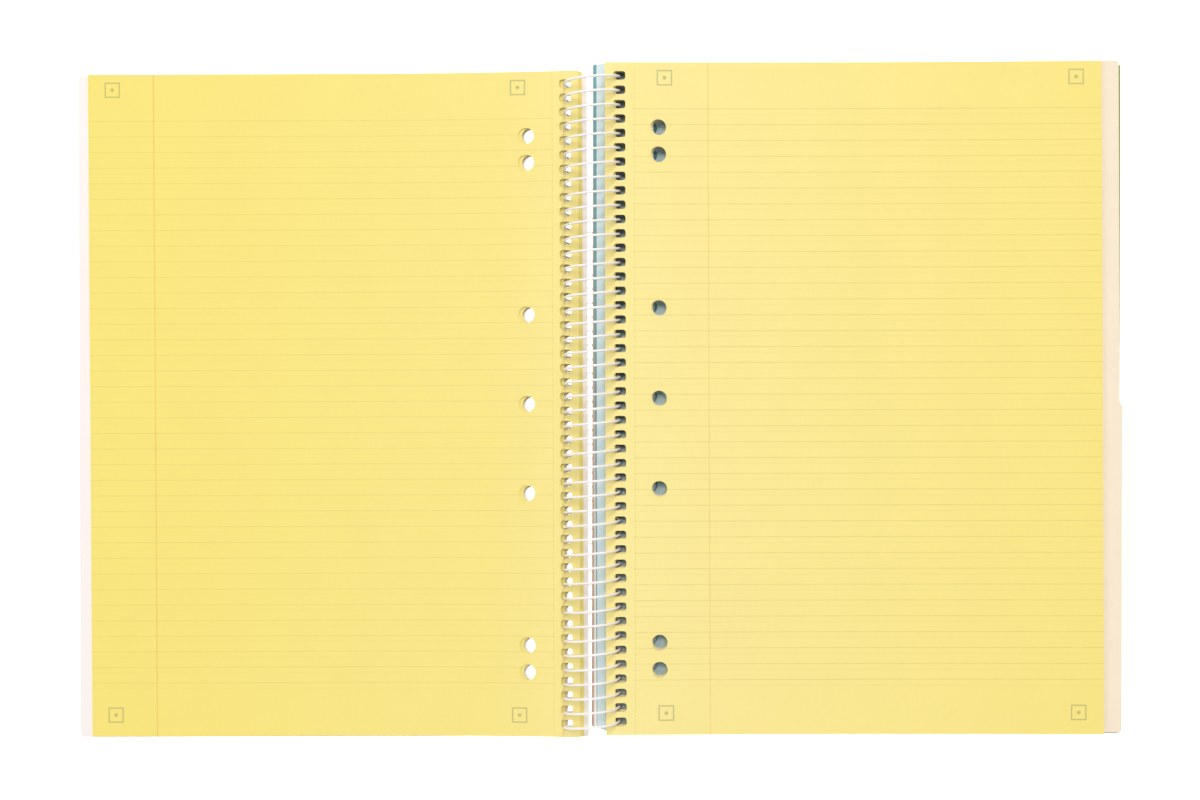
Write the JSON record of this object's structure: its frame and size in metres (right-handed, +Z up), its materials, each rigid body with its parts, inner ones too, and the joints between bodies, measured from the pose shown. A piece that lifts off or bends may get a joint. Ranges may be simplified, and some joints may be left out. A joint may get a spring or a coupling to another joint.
{
  "type": "spiral notebook",
  "caption": "Coil-bound ruled notebook with coloured sections, lying open flat: turned leaves on the front cover at the left, the page stack and back cover at the right.",
  "frame": {"origin": "under the middle of the open notebook's bounding box, on the table", "axes": "+Y along the binding towards the top of the pages, +X towards the outer edge of the right-hand pages, +Z up"},
  "size_m": [0.4664, 0.3038, 0.0258],
  "materials": {
    "coil_enamel": "white enamelled steel wire, satin gloss",
    "front_board": "matt coated board, pinkish white inside",
    "yellow_paper_left": "uncoated yellow writing paper with faint ruling",
    "yellow_paper": "uncoated yellow writing paper with faint ruling",
    "peach_card": "uncoated peach card",
    "peach_paper": "uncoated peach writing paper",
    "green_card": "uncoated olive green card",
    "green_paper": "uncoated pale green writing paper",
    "blue_paper": "uncoated light blue writing paper",
    "teal_card": "uncoated teal card",
    "back_board": "brown greyboard with a white lining"
  },
  "bodies": {
    "page_stack": {"back_cover": "back_board", "teal_divider": "teal_card", "blue_leaves": "blue_paper", "green_leaves": "green_paper", "green_divider": "green_card", "peach_leaves": "peach_paper", "peach_divider": "peach_card", "yellow_leaves": "yellow_paper"},
    "front_half": {"front_cover": "front_board", "turned_leaves": "yellow_paper_left"},
    "coil": {"spiral_wire": "coil_enamel"}
  },
  "joints": [
    {"name": "front_turn", "type": "hinge", "parent": "page_stack", "child": "front_half", "pos_m": [-0.00193, 0, 0.01292], "axis": [0, 1, 0], "range_deg": [0, 174]},
    {"name": "coil_spin", "type": "hinge", "parent": "page_stack", "child": "coil", "pos_m": [-0.00193, 0, 0.01292], "axis": [0, 1, 0], "range_deg": [0, 50]}
  ],
  "couplings": [
    {"joint": "coil_spin", "follows": "front_turn", "ratio": 0.28}
  ]
}
